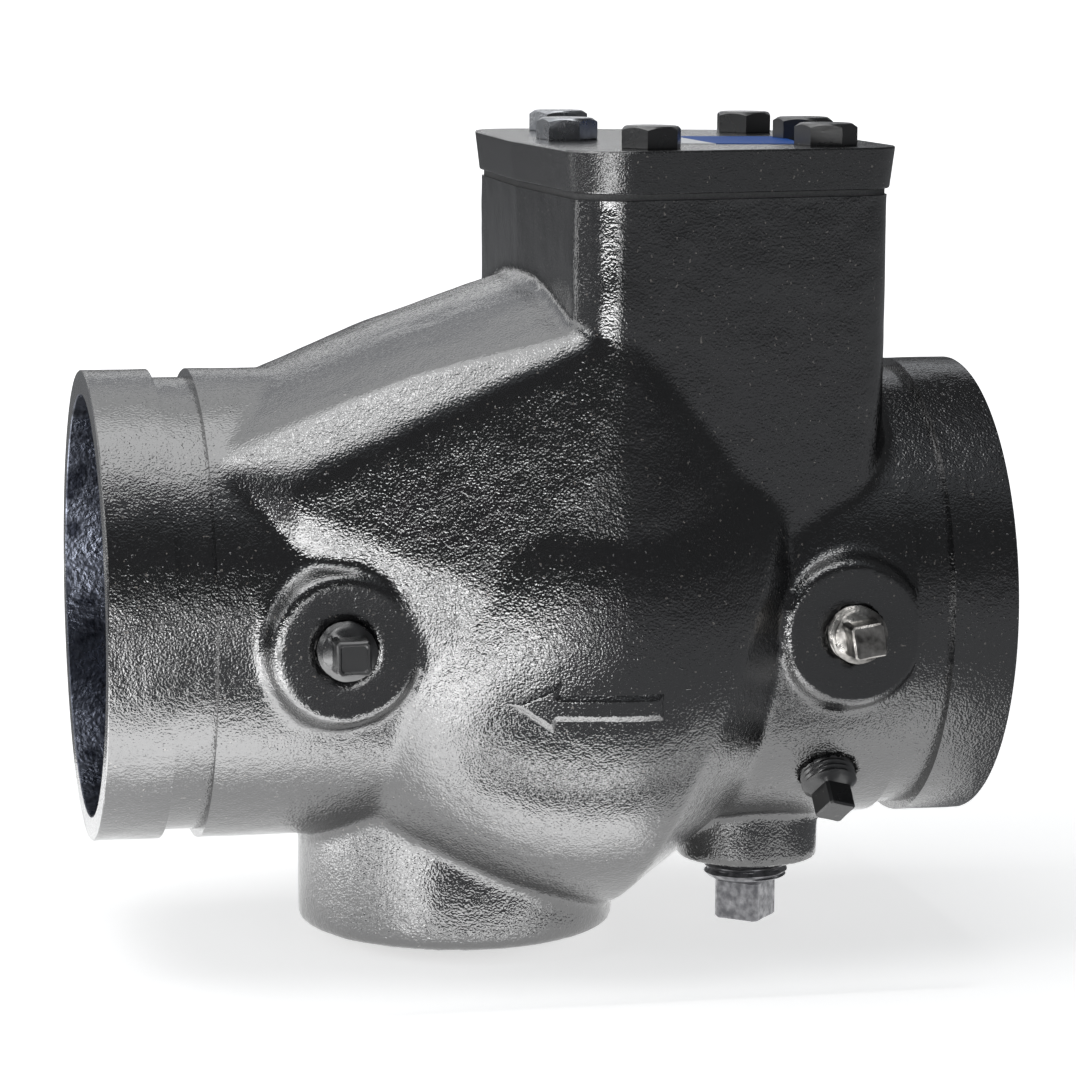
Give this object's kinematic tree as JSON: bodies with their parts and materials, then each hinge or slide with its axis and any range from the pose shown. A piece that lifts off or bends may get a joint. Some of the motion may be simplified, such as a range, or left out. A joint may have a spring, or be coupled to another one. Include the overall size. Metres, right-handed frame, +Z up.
{
  "type": "grooved swing check valve",
  "caption": "Straight cast swing check valve with grooved pipe ends, a hinged clapper under a bolted cover, gauge ports and a bottom main drain port.",
  "frame": {"origin": "centre of the outlet end face, on the pipe axis", "axes": "+X along the pipe axis from the outlet end to the inlet end, against the flow; +Z up towards the cover; the gauge plugs face -Y"},
  "size_m": [0.2183, 0.15, 0.202],
  "materials": {
    "painted_casting": "gloss black paint over sand-cast iron",
    "bronze": "machined cast bronze",
    "rubber": "moulded black rubber",
    "stainless": "turned stainless steel",
    "gasket": "cut sheet gasket",
    "zinc_plated": "zinc-plated steel",
    "black_steel": "gloss black paint on steel",
    "bare_plug": "bare malleable iron with traces of black paint"
  },
  "bodies": {
    "housing": {"body": "painted_casting", "seat_ring": "bronze", "seat_o_ring": "rubber", "hinge_pin": "stainless", "pin_clip_front": "stainless", "pin_clip_back": "stainless", "closing_spring": "stainless", "cover": "painted_casting", "cover_gasket": "gasket", "cover_bolt_nose": "zinc_plated", "cover_bolt_left_front": "black_steel", "cover_bolt_left_back": "zinc_plated", "cover_bolt_right_front": "black_steel", "cover_bolt_right_back": "black_steel", "cover_bolt_heel": "black_steel", "outlet_gauge_plug": "black_steel", "inlet_gauge_plug": "bare_plug", "small_drain_plug": "bare_plug", "test_plug": "black_steel"},
    "clapper_unit": {"clapper": "bronze", "clapper_facing": "rubber", "facing_retainer": "stainless", "retainer_bolt": "stainless", "retainer_washer": "stainless", "retainer_nut": "stainless", "hinge_bush_front": "bronze", "hinge_bush_back": "bronze"}
  },
  "joints": [
    {"name": "clapper_swing", "type": "hinge", "parent": "housing", "child": "clapper_unit", "pos_m": [0.15064, 0, 0.06508], "axis": [0, 1, 0], "range_deg": [0, 60], "stiffness_Nm_per_rad": 0.5, "springref_deg": -28.65, "deforming": ["closing_spring"]}
  ]
}
